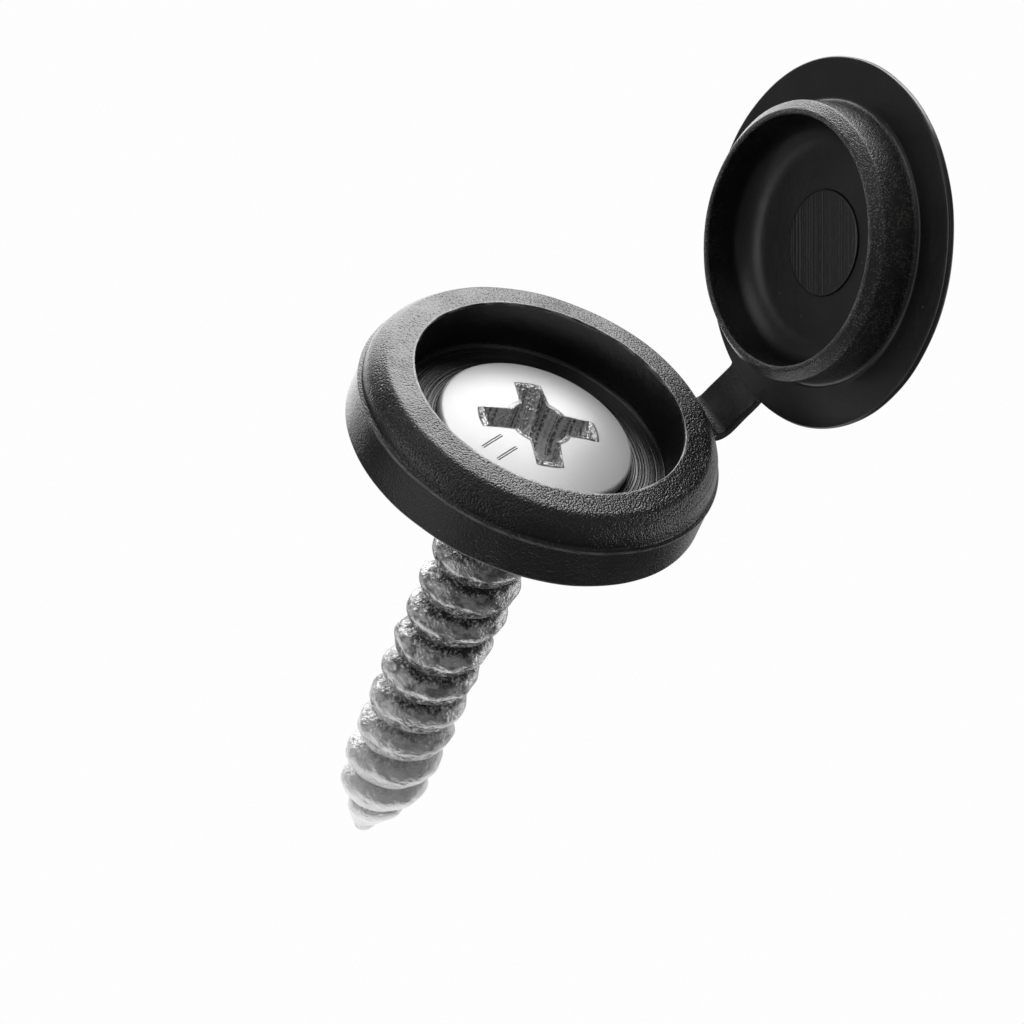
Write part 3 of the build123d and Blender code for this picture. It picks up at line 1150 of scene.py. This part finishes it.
def light_world(look):
    """Soft studio light: dim in front, a white wall behind, a softbox, six panels and a card."""
    world = bpy.data.worlds.new("studio_light")
    world.use_nodes = True
    bpy.context.scene.world = world
    finish = Finish(world.node_tree)
    ray = finish.add("ShaderNodeTexCoord", {}, {}, "Generated")

    def panel(power, azimuth, elevation, full, none):
        """Light round a direction, in degrees: full within one angle of it, none beyond another."""
        towards = direction(math.radians(azimuth), math.radians(elevation))
        seen = finish.along(ray, towards)
        spread = seen.between(math.cos(math.radians(none)), math.cos(math.radians(full)))
        return power * spread

    total = look.fill + panel(look.back, azimuth=60.0, elevation=-10.0, full=46.0, none=61.0)
    total = total + panel(look.softbox, azimuth=58.0, elevation=36.0, full=17.0, none=29.0)
    total = total + panel(look.side, azimuth=83.0, elevation=8.0, full=9.0, none=22.0)
    total = total + panel(look.top, azimuth=152.0, elevation=60.0, full=10.0, none=30.0)
    total = total + panel(look.under, azimuth=78.0, elevation=-34.0, full=12.0, none=30.0)
    total = total + panel(look.left, azimuth=168.0, elevation=0.0, full=8.0, none=22.0)
    total = total + panel(look.right, azimuth=-14.0, elevation=-4.0, full=8.0, none=24.0)
    total = total + panel(look.low, azimuth=-172.0, elevation=-35.0, full=10.0, none=34.0)
    total = total + panel(look.front, azimuth=-78.0, elevation=50.0, full=8.0, none=22.0)
    light = finish.add("ShaderNodeBackground", {}, {"Color": WHITE, "Strength": total})
    finish.add("ShaderNodeOutputWorld", {}, {"Surface": light})


def add_camera(look):
    """The camera, which looks at its aim and leans about its own line of sight."""
    away = direction(look.azimuth, look.elevation)
    flat_right = (-away).cross(Vector((0, 0, 1))).normalized()
    flat_up = flat_right.cross(-away)
    right = math.cos(look.roll) * flat_right + math.sin(look.roll) * flat_up
    up = math.cos(look.roll) * flat_up - math.sin(look.roll) * flat_right
    data = bpy.data.cameras.new("camera")
    data.sensor_width = 36.0
    data.lens = look.lens
    data.clip_start = 0.005
    data.clip_end = 10.0
    camera = new_object("camera", data)
    turn = Matrix((right, up, away)).transposed().to_4x4()
    camera.matrix_world = Matrix.Translation(Vector(look.aim) + away * look.distance) @ turn
    bpy.context.scene.camera = camera


class CAP_OT_add_studio(bpy.types.Operator):
    """Builds the white floor and backdrop, the light and the camera"""

    bl_idname = "cap.add_studio"
    bl_label = "Add studio"

    def execute(self, context):
        look = context.scene.cap_studio
        floor_height = screw_box[0].z * MM
        reach = 3.0
        add_backdrop("studio_floor", square("studio_floor", reach, floor_height), look)
        dome = bmesh.new()
        bmesh.ops.create_icosphere(dome, subdivisions=4, radius=reach)
        dome_mesh = bpy.data.meshes.new("studio_backdrop")
        dome.to_mesh(dome_mesh)
        dome.free()
        add_backdrop("studio_backdrop", dome_mesh, look)
        light_world(look)
        add_card(look, floor_height)
        add_camera(look)
        context.scene.view_settings.view_transform = "Standard"
        return {"FINISHED"}


class CAP_PT_pieces(bpy.types.Panel):
    """Lists the pieces and the studio in the sidebar"""

    bl_label = "Screw cover cap"
    bl_space_type = "VIEW_3D"
    bl_region_type = "UI"
    bl_category = "Screw cap"

    def draw(self, context):
        for operator in operators:
            self.layout.operator(operator.bl_idname)


property_groups = {
    "cap_cup": CupSizes,
    "cap_lid": LidSizes,
    "cap_strap": StrapSizes,
    "cap_screw": ScrewSizes,
    "cap_plastic": PlasticLook,
    "cap_zinc": ZincLook,
    "cap_studio": StudioSettings,
}
operators = (
    CAP_OT_add_cup,
    CAP_OT_add_lid,
    CAP_OT_add_strap,
    CAP_OT_add_screw,
    CAP_OT_add_studio,
)


def register():
    """Registers the classes and gives the scene its settings."""
    for name, group in property_groups.items():
        bpy.utils.register_class(group)
        setattr(bpy.types.Scene, name, bpy.props.PointerProperty(type=group))
    for cls in (*operators, CAP_PT_pieces):
        bpy.utils.register_class(cls)


def unregister():
    """Takes the scene's settings and the classes away."""
    for cls in (CAP_PT_pieces, *reversed(operators)):
        bpy.utils.unregister_class(cls)
    for name, group in reversed(property_groups.items()):
        delattr(bpy.types.Scene, name)
        bpy.utils.unregister_class(group)


def main():
    """Builds every piece and the studio."""
    register()
    bpy.ops.cap.add_cup()
    bpy.ops.cap.add_lid()
    bpy.ops.cap.add_strap()
    bpy.ops.cap.add_screw()
    bpy.ops.cap.add_studio()


if __name__ == "__main__":
    main()
